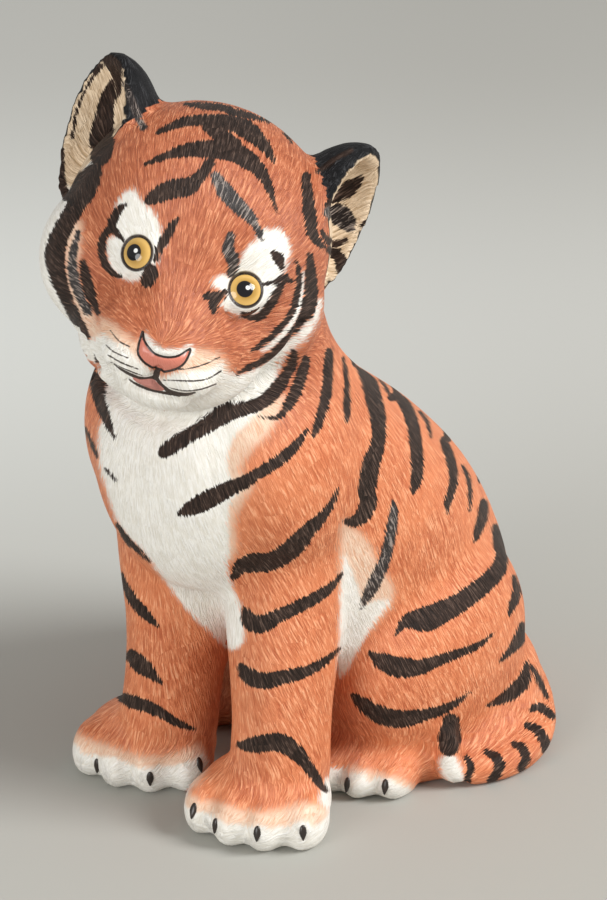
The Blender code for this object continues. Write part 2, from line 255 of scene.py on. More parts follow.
RUFF_EDGE = (
    ((72, 326, 0.2), (82, 350, 0.2), (94, 370, 0.2), (110, 391, 0.2), (130, 409, 0.2), (155, 419, 0.2),
     (185, 421, 0.2), (216, 412, 0.2), (245, 395, 0.2), (270, 373, 0.2), (292, 351, 0.2), (306, 324, 0.2)),
)
TAIL_WHITE = (
    ((449, 764, 9), (453, 774, 9), (460, 779, 4)),
)
# White areas seen in the photograph, as closed outlines in pixels
WHITE_OUTLINES = (
    ((124, 194), (133, 190), (140, 200), (150, 209), (158, 222), (162, 236), (166, 244), (160, 252),
     (156, 262), (149, 271), (143, 279), (132, 280), (119, 275), (110, 267), (108, 252), (109, 240),
     (116, 234), (113, 220), (118, 207)),
    ((213, 281), (222, 275), (231, 277), (236, 268), (243, 258), (250, 246), (258, 240), (262, 232),
     (277, 230), (287, 239), (290, 254), (284, 267), (283, 279), (277, 292), (269, 304), (256, 313),
     (243, 316), (231, 312), (223, 304), (227, 297), (219, 290)),
    ((144, 333), (154, 344), (166, 350), (180, 350), (191, 346), (191, 356), (168, 361), (150, 356)),
    ((104, 336), (116, 344), (127, 350), (136, 359), (147, 369), (153, 377), (160, 380), (172, 375),
     (190, 372), (206, 371), (222, 364), (224, 371), (240, 375), (262, 366), (284, 354), (300, 341),
     (311, 324), (317, 303), (321, 300), (318, 318), (310, 334), (297, 351), (284, 364), (276, 380),
     (268, 400), (258, 412), (246, 424), (232, 438), (226, 460), (230, 478), (238, 492), (229, 504),
     (227, 520), (228, 545), (227, 572), (237, 600), (243, 622), (243, 640), (236, 648), (226, 646),
     (205, 627), (185, 606), (160, 573), (140, 548), (120, 526), (112, 505), (104, 480), (99, 458),
     (99, 432), (104, 415), (99, 395), (98, 375), (92, 362), (84, 345), (96, 338)),
    ((66, 186), (70, 198), (66, 214), (58, 236), (55, 252), (58, 277), (66, 300), (77, 322), (88, 340),
     (98, 356), (98, 368), (68, 352), (40, 310), (30, 270), (34, 230), (48, 196)),
    ((303, 272), (304, 300), (299, 316), (289, 331), (274, 345), (262, 351), (278, 336), (291, 318),
     (297, 298)),
    ((344, 556), (352, 574), (359, 592), (362, 605), (374, 602), (390, 601), (380, 614), (370, 628),
     (360, 644), (350, 664), (340, 676), (340, 640), (342, 590)),
    ((60, 738), (74, 744), (88, 757), (112, 758), (128, 764), (142, 769), (162, 767), (178, 766),
     (192, 762), (203, 755), (205, 766), (191, 782), (182, 800), (150, 810), (80, 800), (56, 770)),
    ((182, 812), (190, 820), (199, 822), (208, 815), (222, 822), (232, 834), (243, 832), (256, 825),
     (270, 830), (282, 833), (295, 824), (306, 821), (316, 830), (334, 830), (336, 866), (180, 866)),
    ((326, 780), (345, 777), (354, 778), (364, 783), (378, 779), (390, 780), (399, 786), (412, 792),
     (404, 808), (326, 808)),
)
# Softer cream between white and orange, the same way
CREAM_OUTLINES = (
    ((220, 405), (262, 404), (284, 396), (276, 420), (262, 440), (250, 452), (240, 470), (252, 486),
     (244, 500), (234, 520), (236, 548), (226, 560), (222, 500), (220, 450)),
    ((342, 526), (354, 530), (368, 542), (379, 566), (393, 588), (388, 608), (358, 636), (342, 600)),
    ((66, 226), (80, 222), (80, 245), (78, 268), (82, 290), (92, 312), (104, 334), (96, 344), (80, 322),
     (68, 294), (64, 262)),
    ((100, 318), (124, 334), (140, 346), (146, 362), (150, 374), (128, 372), (106, 352)),
    ((190, 352), (214, 352), (228, 364), (226, 376), (200, 380), (160, 378), (176, 372)),
    ((184, 792), (200, 800), (222, 804), (243, 810), (270, 812), (300, 804), (330, 808), (336, 840),
     (184, 840)),
    ((58, 722), (80, 736), (110, 746), (140, 756), (170, 756), (200, 746), (206, 768), (180, 790),
     (60, 790)),
    ((340, 769), (372, 771), (400, 779), (412, 792), (340, 800)),
)
NOSE_OUTLINE = (
    (142, 331), (137.3, 350.7), (143, 362), (153, 369), (160, 373), (175.5, 370), (184.7, 364),
    (189.8, 354.8), (190.8, 348.7), (179.6, 355.8),
    (167.4, 357.9), (155.2, 354.8), (148, 347.7), (143.4, 339.5),
)
TONGUE_OUTLINE = (
    (131, 380), (140, 382), (152, 381), (158, 386), (164, 392), (156, 392), (146, 389), (137, 385),
)

# Claws: their places in the photograph, in pixels, and half their size
CLAWS = (
    (193, 811), (215, 826), (257, 834), (303, 833),
    (97, 766), (150, 779), (200, 765),
    (347, 785), (385, 787),
)
CLAW_HALF = (0.00092, 0.0021, 0.00055)

# Where the painted light on the floor paper changes, along and across the line of sight, in metres
PAPER_FAR, PAPER_MIDDLE, PAPER_NEAR = -0.47, -0.26, 0.0
PAPER_LEFT, PAPER_RIGHT = -0.12, 0.10
FLOOR_SIZE = 6.0
# The paper's grey with painted light, at the left and the right: brightest in a middle band and towards the
# left, darker near and far
FAR_PAPER_PAINTED_LIGHT = ((0.52, 0.52, 0.49, 1), (0.44, 0.435, 0.405, 1))
MIDDLE_PAPER_PAINTED_LIGHT = ((0.67, 0.685, 0.655, 1), (0.54, 0.54, 0.51, 1))
NEAR_PAPER_PAINTED_LIGHT = ((0.43, 0.43, 0.398, 1), (0.405, 0.40, 0.365, 1))

# Strokes on the side away from the camera: angle round the trunk in degrees, height and half width in
# millimetres
BACK_STRIPES = (
    ((142, 110, 0.5), (160, 107, 1.5), (180, 106, 1.8), (205, 109, 0.5)),
    ((138, 99, 0.6), (158, 94, 1.7), (178, 92, 0.5)),
    ((182, 96, 0.6), (204, 94, 1.7), (222, 100, 0.6)),
    ((140, 83, 0.5), (158, 78, 1.7), (181, 76, 1.9), (202, 78, 1.7), (222, 84, 0.5)),
    ((146, 66, 0.6), (166, 61, 1.6), (186, 60, 0.5)),
    ((188, 65, 0.5), (208, 63, 1.6), (222, 68, 0.6)),
    ((140, 50, 0.5), (158, 45, 1.7), (180, 43, 1.9), (204, 45, 1.7), (222, 51, 0.5)),
    ((148, 33, 0.5), (172, 29, 1.8), (196, 30, 1.6), (214, 35, 0.5)),
    ((152, 17, 0.5), (178, 15, 1.6), (205, 18, 0.5)),
)
# The same for the head: angles round it and above its middle, and half width
NAPE_STRIPES = (
    ((104, 58, 0.6), (140, 54, 2.0), (180, 52, 2.2), (220, 54, 2.0), (256, 58, 0.6)),
    ((128, 32, 0.6), (155, 27, 2.1), (180, 26, 2.3), (205, 27, 2.1), (232, 32, 0.6)),
    ((126, 6, 0.6), (152, 1, 2.1), (180, 0, 2.3), (208, 1, 2.1), (234, 6, 0.6)),
)
CHEEK_WHITES = (
    ((-78, 22, 2), (-86, 0, 5), (-84, -20, 4)),
)

# The way the hair lies: on the body and the paws, how far the head's own lie reaches, and the ears' roots
BODY_LIE = (0.0, 0.35, -1.0)
PAW_LIE = (0.0, -1.0, -0.35)
SIDE_LEAN, SIDE_REACH = 0.25, 0.02
HEAD_LIE_REACH, HEAD_LIE_SOFT = 0.046, 0.010
PAW_LIE_TOP, PAW_LIE_SOFT = 0.020, 0.012
EAR_ROOT = (0.020, 0.004, 0.004)
FACE_REACH, FACE_SOFT = 0.050, 0.012

# Hair streaks: size and shift of the two layers' cells, streaks to the metre, and how unlike two cells are
TUFT_LAYERS = ((0.0064, (0, 0, 0)), (0.0060, (0.31, 0.17, 0.23)))
STREAKS_ACROSS = 2500
STREAKS_ALONG = 210
STREAK_PICK = 40

# Paints, as linear colours
# Rust where the hair streaks sink, orange where they rise: the rust in the grooves is partly the paint's
# own darker strokes and partly painted shade
RUST_CLOUD, RUST = (0.47, 0.105, 0.033, 1), (0.60, 0.165, 0.060, 1)
FACE_RUST = (0.34, 0.078, 0.027, 1)
ORANGE, FACE_ORANGE = (0.80, 0.285, 0.125, 1), (0.60, 0.185, 0.078, 1)
# Painted highlight on the hair ridges, on the body and on the face
ORANGE_HIGHLIGHT, FACE_HIGHLIGHT = (0.90, 0.42, 0.23, 1), (0.74, 0.31, 0.16, 1)
# Darker and lighter ends of the cream, white, peach and stripe paints, laid from the hair grooves to the
# streaks' tops: the darker end is partly each paint's own tone and partly painted shade
CUP_DARK, CUP_LIGHT = (0.50, 0.35, 0.21, 1), (0.92, 0.74, 0.54, 1)
# Black of the ears, and its painted highlight on the hair ridges
EAR_BLACK, EAR_HIGHLIGHT = (0.007, 0.007, 0.008, 1), (0.065, 0.066, 0.07, 1)
WHITE_DARK, WHITE_LIGHT = (0.80, 0.76, 0.67, 1), (0.95, 0.93, 0.88, 1)
PEACH_DARK, PEACH_LIGHT = (0.76, 0.42, 0.26, 1), (0.90, 0.70, 0.54, 1)
STRIPE_DARK, STRIPE_LIGHT = (0.014, 0.009, 0.007, 1), (0.055, 0.033, 0.025, 1)
# Painted highlight on the hair ridges inside the stripes
STRIPE_HIGHLIGHT = (0.13, 0.085, 0.065, 1)
ASH_DARK, ASH_LIGHT = (0.020, 0.015, 0.014, 1), (0.30, 0.25, 0.22, 1)
LINE_BROWN = (0.04, 0.025, 0.018, 1)
TONGUE_PINK, NOSE_PINK = (0.50, 0.20, 0.16, 1), (0.62, 0.20, 0.14, 1)
LID_BROWN, NOSE_RIM = (0.05, 0.036, 0.03, 1), (0.025, 0.015, 0.012, 1)
GOLD_DARK, GOLD_LIGHT = (0.40, 0.23, 0.05, 1), (0.70, 0.44, 0.13, 1)
PUPIL_BLACK, IRIS_EDGE = (0.005, 0.005, 0.007, 1), (0.012, 0.009, 0.008, 1)
# White of the painted highlight in the eyes
HIGHLIGHT_WHITE = (0.85, 0.85, 0.83, 1)


def turned(degrees, axis):
    return Matrix.Rotation(math.radians(degrees), 3, axis)


camera_right = Vector((math.cos(math.radians(VIEW_TURN)), math.sin(math.radians(VIEW_TURN)), 0))
camera_back = Vector((
    math.sin(math.radians(VIEW_TURN)) * math.cos(math.radians(VIEW_RISE)),
    -math.cos(math.radians(VIEW_TURN)) * math.cos(math.radians(VIEW_RISE)),
    math.sin(math.radians(VIEW_RISE)),
))
camera_up = camera_back.cross(camera_right)
camera_place = VIEW_TARGET + camera_back * VIEW_DISTANCE
head_pose = turned(HEAD_TURN, "Z") @ turned(-HEAD_LIFT, "X") @ turned(HEAD_TILT, "Y")


def object_from(bm, name):
    mesh = bpy.data.meshes.new(name)
    bm.to_mesh(mesh)
    bm.free()
    piece = bpy.data.objects.new(name, mesh)
    bpy.context.scene.collection.objects.link(piece)
    return piece


def settle(piece):
    """The piece's modifiers made into its mesh."""
    graph = bpy.context.evaluated_depsgraph_get()
    graph.update()
    mesh = bpy.data.meshes.new_from_object(piece.evaluated_get(graph))
    piece.modifiers.clear()
    piece.data = mesh


def fine_skin():
    """A close-meshed copy of the casting, for the paint and the fine modelling."""
    bm = bmesh.new()
    bm.from_mesh(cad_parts["tiger_figurine"].data)
    bmesh.ops.remove_doubles(bm, verts=bm.verts[:], dist=WELD)
    skin = object_from(bm, "painted_casting")
    remesh = skin.modifiers.new("Skin", "REMESH")
    remesh.mode = "VOXEL"
    remesh.voxel_size = SKIN_VOXEL
    soften = skin.modifiers.new("Soften", "SMOOTH")
    soften.factor = 0.5
    soften.iterations = SKIN_ROUNDS
    settle(skin)
    return skin


def in_front(skin, start, low, high):
    """The points on the front of the head, between two heights in its own frame."""
    local = in_head(points_of(skin))
    return (local[:, 1] < start) & (local[:, 2] > low) & (local[:, 2] < high)


def split(skin, chosen):
    """Smaller facets between the chosen points, for thin painted lines and crisp edges."""
    bm = bmesh.new()
    bm.from_mesh(skin.data)
    edges = [e for e in bm.edges if chosen[e.verts[0].index] and chosen[e.verts[1].index]]
    bmesh.ops.subdivide_edges(bm, edges=edges, cuts=1, use_grid_fill=True)
    bmesh.ops.triangulate(bm, faces=[f for f in bm.faces if len(f.verts) > 4])
    bm.to_mesh(skin.data)
    bm.free()


def points_of(piece):
    spots = np.empty(len(piece.data.vertices) * 3, np.float32)
    piece.data.vertices.foreach_get("co", spots)
    return spots.reshape(-1, 3).astype(float)


def normals_of(piece):
    lean = np.empty(len(piece.data.vertices) * 3, np.float32)
    piece.data.vertices.foreach_get("normal", lean)
    return lean.reshape(-1, 3).astype(float)


def smooth_path(points, closed=False):
    """Points with a smooth curve's points between them."""
    rows = np.array(points, float)
    ends = (rows[-1], rows[:2]) if closed else (2 * rows[0] - rows[1], 2 * rows[-1] - rows[-2])
    rows = np.vstack([ends[0], rows, ends[1]])
    curve = []
    for a, b, c, d in zip(rows, rows[1:], rows[2:], rows[3:]):
        for t in np.arange(PATH_STEPS) / PATH_STEPS:
            curve.append(0.5 * (2 * b + (c - a) * t + (2 * a - 5 * b + 4 * c - d) * t**2
                                + (3 * b - a - 3 * c + d) * t**3))
    return np.array(curve if closed else curve + [rows[-2]])


def pixel_direction(x, y):
    across = camera_right * ((x - PICTURE_WIDTH / 2) / FOCAL_PIXELS)
    rise = camera_up * ((PICTURE_HEIGHT / 2 - y) / FOCAL_PIXELS)
    return (across + rise - camera_back).normalized()


def seen_at(surface, x, y):
    """The surface point and its normal under a pixel, or the nearest to it past the outline."""
    aim = pixel_direction(x, y)
    spot, lean, _, _ = surface.ray_cast(camera_place, aim)
    if spot is None:
        spot, lean, _, _ = surface.find_nearest(camera_place + aim * (VIEW_DISTANCE - OUTLINE_NEARER))
    return spot, lean


def round_trunk(surface, angle, height):
    """The trunk's surface at an angle from the front and a height in millimetres."""
    middle = Vector((0, np.interp(height, TRUNK_HEIGHTS, TRUNK_MIDDLES), height / 1000))
    out = Vector((math.sin(math.radians(angle)), -math.cos(math.radians(angle)), 0))
    spot, lean, _, _ = surface.ray_cast(middle + out * TRUNK_OUTSIDE, -out)
    return spot, lean


def round_head(surface, angle, rise):
    """The head's surface at an angle from its front and above its middle."""
    level = math.cos(math.radians(rise))
    out = head_pose @ Vector((
        math.sin(math.radians(angle)) * level,
        -math.cos(math.radians(angle)) * level,
        math.sin(math.radians(rise)),
    ))
    spot, lean, _, _ = surface.ray_cast(HEAD_CENTRE + out * HEAD_OUTSIDE, -out)
    return spot, lean


def picture_places(spots):
    """Where the camera sees each point, in pixels, and how deep it lies."""
    from_camera = spots - np.array(camera_place)
    depth = from_camera @ -np.array(camera_back)
    x = PICTURE_WIDTH / 2 + FOCAL_PIXELS * (from_camera @ np.array(camera_right)) / depth
    y = PICTURE_HEIGHT / 2 - FOCAL_PIXELS * (from_camera @ np.array(camera_up)) / depth
    return np.stack([x, y], axis=1), depth


def lay(surface, finder, strokes, unit):
    """Strokes laid on the surface, each as its points, half widths in metres and normals."""
    laid = []
    for points in strokes:
        path = smooth_path(points)
        found = [finder(surface, x, y) for x, y, _ in path]
        spots = np.array([spot for spot, _ in found])
        leans = np.array([lean for _, lean in found])
        laid.append((spots, path[:, 2] * unit, leans))
    return laid


def seen_gap(surface, strokes, spots, leans):
    """How far each surface point lies outside the nearest stroke in the picture, negative inside it."""
    places, _ = picture_places(spots)
    turned_away = SEEN_SHRINK * np.clip(GRAZING - leans @ np.array(camera_back), 0, None)
    gap = np.full(len(spots), FAR)
    for points in strokes:
        path = smooth_path(points)
        laid = np.array([seen_at(surface, x, y)[0] for x, y, _ in path])
        reach = FAR + STROKE_SLACK * PIXEL * path[:, 2].max()
        low, high = laid.min(axis=0) - reach, laid.max(axis=0) + reach
        near = np.nonzero(((spots > low) & (spots < high)).all(axis=1))[0]
        best = np.full(len(near), FAR)
        for (start, begin), (stop, end) in zip(zip(path, laid), zip(path[1:], laid[1:])):
            run = stop - start
            offset = places[near] - start[:2]
            t = np.clip(offset @ run[:2] / max(run[:2] @ run[:2], 1e-9), 0, 1)[:, None]
            away = np.linalg.norm(offset - t * run[:2], axis=1) - start[2] - t[:, 0] * run[2]
            deep = np.linalg.norm(spots[near] - begin - t * (end - begin), axis=1)
            best = np.minimum(best, np.where(deep < reach, away * PIXEL, FAR))
        gap[near] = np.minimum(gap[near], best + turned_away[near])
    return gap


def mirrored_strokes(surface, laid):
    """The same strokes on the other side of the body."""
    other = []
    for spots, widths, _ in laid:
        found = [surface.find_nearest(Vector((-x, y, z))) for x, y, z in spots]
        other.append((np.array([f[0] for f in found]), widths, np.array([f[1] for f in found])))
    return other


def edge_gap(laid, spots, leans):
    """How far each surface point lies outside the nearest laid stroke's edge, negative inside it."""
    gap = np.full(len(spots), FAR)
    for path, widths, outward in laid:
        low, high = path.min(axis=0) - FAR - widths.max(), path.max(axis=0) + FAR + widths.max()
        near = np.nonzero(((spots > low) & (spots < high)).all(axis=1))[0]
        here, lean = spots[near], leans[near]
        best = np.full(len(near), FAR)
        for k in range(len(path) - 1):
            run = path[k + 1] - path[k]
            t = np.clip((here - path[k]) @ run / max(run @ run, 1e-12), 0, 1)
            away = np.linalg.norm(here - path[k] - t[:, None] * run, axis=1)
            away -= widths[k] + t * (widths[k + 1] - widths[k])
            away += LAID_SHRINK * np.clip(GRAZING - lean @ outward[k], 0, None)
            best = np.minimum(best, away)
        gap[near] = np.minimum(gap[near], best)
    return gap


def outline_gap(outlines, spots, leans):
    """The same for closed outlines in pixels, with surfaces that face away from the camera pushed out."""
    places, depth = picture_places(spots)
    nearest = np.full(len(spots), FAR)
    margin = FAR / PIXEL
    for outline in outlines:
        corners = smooth_path(outline, closed=True)
        beside = (places < corners.min(axis=0) - margin) | (places > corners.max(axis=0) + margin)
        near = np.nonzero(~beside.any(axis=1))[0]
        x, y = places[near].T
        gap = np.full(len(near), 1e3)
        inside = np.zeros(len(near), bool)
        for (ax, ay), (bx, by) in zip(corners, np.roll(corners, -1, axis=0)):
            run_x, run_y = bx - ax, by - ay
            t = np.clip(((x - ax) * run_x + (y - ay) * run_y) / max(run_x**2 + run_y**2, 1e-9), 0, 1)
            gap = np.minimum(gap, np.hypot(x - ax - t * run_x, y - ay - t * run_y))
            crosses = (ay > y) != (by > y)
            level = 1.0 if ay == by else by - ay
            inside ^= crosses & (x < ax + run_x * (y - ay) / level)
        gap = np.where(inside, -gap, gap) * depth[near] / FOCAL_PIXELS
        nearest[near] = np.minimum(nearest[near], gap)
    turned_away = OUTLINE_SHRINK * np.clip(-leans @ np.array(camera_back) - GRAZING, 0, None)
    return np.minimum(np.maximum(nearest, -DEEPEST) + turned_away, FAR)


def far_behind(surface, spots, leans):
    """The points that another part of the figure hides from the camera, from well in front."""
    hidden = np.zeros(len(spots), bool)
    for k in np.nonzero(leans @ np.array(camera_back) > BACK_FACING)[0]:
        place = Vector(spots[k])
        aim = (camera_place - place).normalized()
        hidden[k] = surface.ray_cast(place + aim * HIDDEN_BEYOND, aim)[0] is not None
    return hidden


def eye_middle(spot, axis):
    return np.array(HEAD_CENTRE + head_pose @ (spot - axis * IRIS_DEPTH))


def round_eye(spots, spot, axis):
    """An eye's outward direction, and each point's height along it and distance from it."""
    out = np.array(head_pose @ axis)
    offset = spots - eye_middle(spot, axis)
    height = offset @ out
    return out, height, np.linalg.norm(offset - height[:, None] * out, axis=1)


def lid_distance(spots):
    """Distance of each surface point in front from the nearer eye's axis."""
    nearest = np.full(len(spots), LID_FAR)
    for spot, axis in zip(IRIS_SPOTS, EYE_AXES):
        _, height, ring = round_eye(spots, spot, axis)
        nearest = np.where(height > 0, np.minimum(nearest, ring), nearest)
    return nearest


def shape_lids(spots):
    """The skin sunk under each eye and raised into a lid round it."""
    for spot, axis in zip(IRIS_SPOTS, EYE_AXES):
        out, height, ring = round_eye(spots, spot, axis)
        near = (ring < LID_REACH) & (height > 0)
        lid = math.sqrt(EYE_RADIUS**2 - RIM_RADIUS**2) + LID_PROUD
        raised = np.clip((LID_REACH - ring) / (LID_REACH - RIM_RADIUS), 0, 1) ** 2 * (lid - height)
        sunk = np.minimum(height, LID_FLOOR) - height
        change = np.where(ring < RIM_RADIUS, sunk, raised)
        spots += np.where(near, change, 0)[:, None] * out


def toe_gap(spots):
    """How far each point lies outside the white toes, low down in front of each paw's middle."""
    nearest = np.full(len(spots), FAR)
    for x, y in PAWS:
        ahead = (spots[:, 1] - y + TOE_SPREAD * np.abs(spots[:, 0] - x)) + TOE_AHEAD
        beside = np.abs(spots[:, 0] - x) - TOE_BESIDE
        gap = np.maximum(np.maximum(spots[:, 2] - TOE_HEIGHT, ahead), beside)
        nearest = np.minimum(nearest, gap)
    return nearest


def in_head(spots):
    return (spots - np.array(HEAD_CENTRE)) @ np.array(head_pose)


def ear_gap(spots, side):
    """How far out from an ear's middle each point lies, 1 at the ear's own outline."""
    local = in_head(spots)
    lean = math.radians(EAR_LEAN) * side
    offset = local - np.array((side * EAR_CENTRE[0], EAR_CENTRE[1], EAR_CENTRE[2]))
    x = offset[:, 0] * math.cos(lean) - offset[:, 2] * math.sin(lean)
    z = offset[:, 0] * math.sin(lean) + offset[:, 2] * math.cos(lean)
    gap = np.linalg.norm(np.stack([x, offset[:, 1], z], axis=1) / np.array(EAR_SIZE) * 2, axis=1)
    return np.where(local[:, 0] * side > 0, gap, 9.0)


def on_ear(spots, side):
    """True on an ear, past the skull's own surface and above the ear's foot."""
    local = in_head(spots)
    skull = np.linalg.norm((local - np.array(SKULL_CENTRE)) / np.array(SKULL_SIZE) * 2, axis=1)
    return (ear_gap(spots, side) < EAR_REACH) & (skull > SKULL_REACH) & (local[:, 2] > EAR_FOOT)


def ear_sides(spots, leans):
    """1 on the outside and the rim of an ear, 2 in its cup, 0 elsewhere."""
    local, lean = in_head(spots), leans @ np.array(head_pose)
    found = np.zeros(len(spots))
    for side in (-1, 1):
        cup = np.array((side * (EAR_CENTRE[0] + CUP_OUT), EAR_CENTRE[1] - CUP_AHEAD, EAR_CENTRE[2]))
        offset = local - cup
        offset /= np.linalg.norm(offset, axis=1)[:, None] + 1e-9
        turn = (offset * lean).sum(axis=1)
        found = np.where(on_ear(spots, side), 1 + np.clip(-4 * turn - 0.4, 0, 1), found)
        found = np.maximum(found, 2 * np.clip((CUP_EDGE - ear_gap(spots, side)) / CUP_SOFT, 0, 1))
    return found


def fur_flow(spots, leans):
    """The way the hair lies: back from the nose on the head, down and back on the body, along the limbs."""
    nose = np.array(HEAD_CENTRE + head_pose @ NOSE_TIP)
    head = np.array(HEAD_CENTRE)
    flow = np.tile(np.array(BODY_LIE), (len(spots), 1))
    flow[:, 0] += SIDE_LEAN * np.sign(spots[:, 0]) * np.clip(np.abs(spots[:, 0]) / SIDE_REACH, 0, 1)
    from_nose = spots - nose
    from_nose /= np.linalg.norm(from_nose, axis=1)[:, None] + 1e-9
    depth = HEAD_LIE_REACH - np.linalg.norm(spots - head, axis=1)
    inside = np.clip(depth / HEAD_LIE_SOFT, 0, 1)[:, None]
    flow = flow * (1 - inside) + from_nose * inside
    for side in (-1, 1):
        root = np.array(HEAD_CENTRE + head_pose @ Vector((side * EAR_ROOT[0], *EAR_ROOT[1:])))
        away = spots - root
        away /= np.linalg.norm(away, axis=1)[:, None] + 1e-9
        inside = np.clip(1 - 4 * (ear_gap(spots, side) - 1), 0, 1)[:, None]
        flow = flow * (1 - inside) + away * inside
    low = np.clip((PAW_LIE_TOP - spots[:, 2]) / PAW_LIE_SOFT, 0, 1)[:, None]
    flow = flow * (1 - low) + np.array(PAW_LIE) * low
    flow -= (flow * leans).sum(axis=1)[:, None] * leans
    return flow / (np.linalg.norm(flow, axis=1)[:, None] + 1e-9)


def store(piece, name, kind, values):
    layer = piece.data.attributes.new(name, kind, "POINT")
    key = "vector" if kind == "FLOAT_VECTOR" else "value"
    layer.data.foreach_set(key, np.ascontiguousarray(values, np.float32).ravel())


def surface_of(skin):
    return BVHTree.FromPolygons(
        [v.co.copy() for v in skin.data.vertices],
        [tuple(p.vertices) for p in skin.data.polygons],
    )


def stripe_gap(skin, surface):
    side = FLANK_STRIPES + THIGH_STRIPES + CHEST_STRIPES[4:]
    front = CROWN_STRIPES + EYE_STRIPES + CHEEK_STRIPES + CHEST_STRIPES[:4] + FORELEG_STRIPES + TAIL_STRIPES
    hidden = mirrored_strokes(surface, lay(surface, seen_at, side, PIXEL))
    hidden += lay(surface, round_trunk, BACK_STRIPES, MILLIMETRE)
    hidden += lay(surface, round_head, NAPE_STRIPES, MILLIMETRE)
    spots, leans = points_of(skin), normals_of(skin)
    seen = seen_gap(surface, side + front + EAR_BLACKS, spots, leans)
    return np.minimum(edge_gap(hidden, spots, leans), seen)


def groove(gap, depth, width):
    return (depth * np.exp(-((gap / width) ** 2)))[:, None]


def paint(skin, surface):
    """Every painted field, in millimetres on the skin, and the creases that go with it."""
    whites = lay(surface, round_head, CHEEK_WHITES, MILLIMETRE)
    spots, leans = points_of(skin), normals_of(skin)
    nose = outline_gap([NOSE_OUTLINE], spots, leans)
    crease = seen_gap(surface, MOUTH_LINES, spots, leans)
    fold = seen_gap(surface, RUFF_EDGE, spots, leans)
    hidden = far_behind(surface, spots, leans)
    white = np.where(hidden, FAR, outline_gap(WHITE_OUTLINES, spots, leans))
    white = np.minimum(edge_gap(whites, spots, leans), white)
    white = np.minimum(white, seen_gap(surface, TAIL_WHITE, spots, leans))
    fields = {
        "stripe": stripe_gap(skin, surface),
        "line": seen_gap(surface, MOUTH_LINES + WHISKER_LINES, spots, leans),
        "white": np.minimum(white, toe_gap(spots)),
        "cream": np.where(hidden, FAR, outline_gap(CREAM_OUTLINES, spots, leans)),
        "grey": seen_gap(surface, GREY_STRIPES, spots, leans),
        "nose": nose,
        "tongue": outline_gap([TONGUE_OUTLINE], spots, leans),
    }
    for name, gap in fields.items():
        store(skin, name, "FLOAT", 1000 * gap)
    store(skin, "ear", "FLOAT", ear_sides(spots, leans))

    spots -= leans * groove(np.clip(crease, 0, None), *MOUTH_GROOVE)
    spots -= leans * groove(nose, *NOSE_GROOVE)
    spots -= leans * groove(np.clip(fold, 0, None), *RUFF_GROOVE)
    shape_lids(spots)
    skin.data.vertices.foreach_set("co", spots.astype(np.float32).ravel())
    skin.data.update()

    spots, leans = points_of(skin), normals_of(skin)
    flow = fur_flow(spots, leans)
    head = np.linalg.norm(spots - np.array(HEAD_CENTRE), axis=1)
    store(skin, "along", "FLOAT_VECTOR", flow)
    store(skin, "across", "FLOAT_VECTOR", np.cross(leans, flow))
    store(skin, "lid", "FLOAT", 1000 * lid_distance(spots))
    store(skin, "face", "FLOAT", np.clip((FACE_REACH - head) / FACE_SOFT, 0, 1))


class Recipe:
    """One material's nodes, joined up as they are made."""

    def __init__(self, name):
        self.material = bpy.data.materials.new(name)
        self.material.use_nodes = True
        self.tree = self.material.node_tree
        self.shader = self.tree.nodes["Principled BSDF"]

    def add(self, kind, inputs=(), **settings):
        made = self.tree.nodes.new(kind)
        for name, value in settings.items():
            setattr(made, name, value)
        for key, value in dict(inputs).items():
            if isinstance(value, bpy.types.NodeSocket):
                self.tree.links.new(value, made.inputs[key])
            else:
                made.inputs[key].default_value = value
        return made.outputs

    def sum(self, operation, *values):
        return self.add("ShaderNodeMath", enumerate(values), operation=operation)[0]

    def vector(self, operation, *values):
        outputs = self.add("ShaderNodeVectorMath", enumerate(values), operation=operation)
        return outputs["Value"] if operation in ("DOT_PRODUCT", "LENGTH") else outputs["Vector"]

    def rise(self, value, low, high):
        """0 below low, 1 above high, smooth between."""
        steps = {"Value": value, "From Min": low, "From Max": high}
        return self.add("ShaderNodeMapRange", steps, interpolation_type="SMOOTHSTEP")["Result"]

    def mix(self, amount, first, second):
        return self.add("ShaderNodeMix", {0: amount, 6: first, 7: second}, data_type="RGBA")[2]

    def field(self, name, output="Fac"):
        return self.add("ShaderNodeAttribute", attribute_name=name)[output]

    def shine(self, colour, roughness, **sockets):
        for key, value in {"Base Color": colour, "Roughness": roughness, **sockets}.items():
            if isinstance(value, bpy.types.NodeSocket):
                self.tree.links.new(value, self.shader.inputs[key])
            else:
                self.shader.inputs[key].default_value = value
        return self.material


def tufts(recipe, place, along, across, size, shift):
    """Streaks that follow the hair inside small cells, and the distance from each cell's middle."""
    moved = recipe.vector("ADD", place, shift)
    cells = recipe.add("ShaderNodeTexVoronoi", {"Vector": moved, "Scale": 1 / size})
    offset = recipe.vector("SUBTRACT", moved, cells["Position"])
    u = recipe.sum("MULTIPLY", recipe.vector("DOT_PRODUCT", offset, across), STREAKS_ACROSS)
    v = recipe.sum("MULTIPLY", recipe.vector("DOT_PRODUCT", offset, along), STREAKS_ALONG)
    pick = recipe.sum("MULTIPLY", cells["Color"], STREAK_PICK)
    spot = recipe.add("ShaderNodeCombineXYZ", {0: u, 1: v, 2: pick})[0]
    fibre = {"Vector": spot, "Scale": 1.0, "Detail": 3.5, "Roughness": 0.66}
    grain = recipe.add("ShaderNodeTexNoise", fibre)
    return grain["Fac"], cells["Distance"]


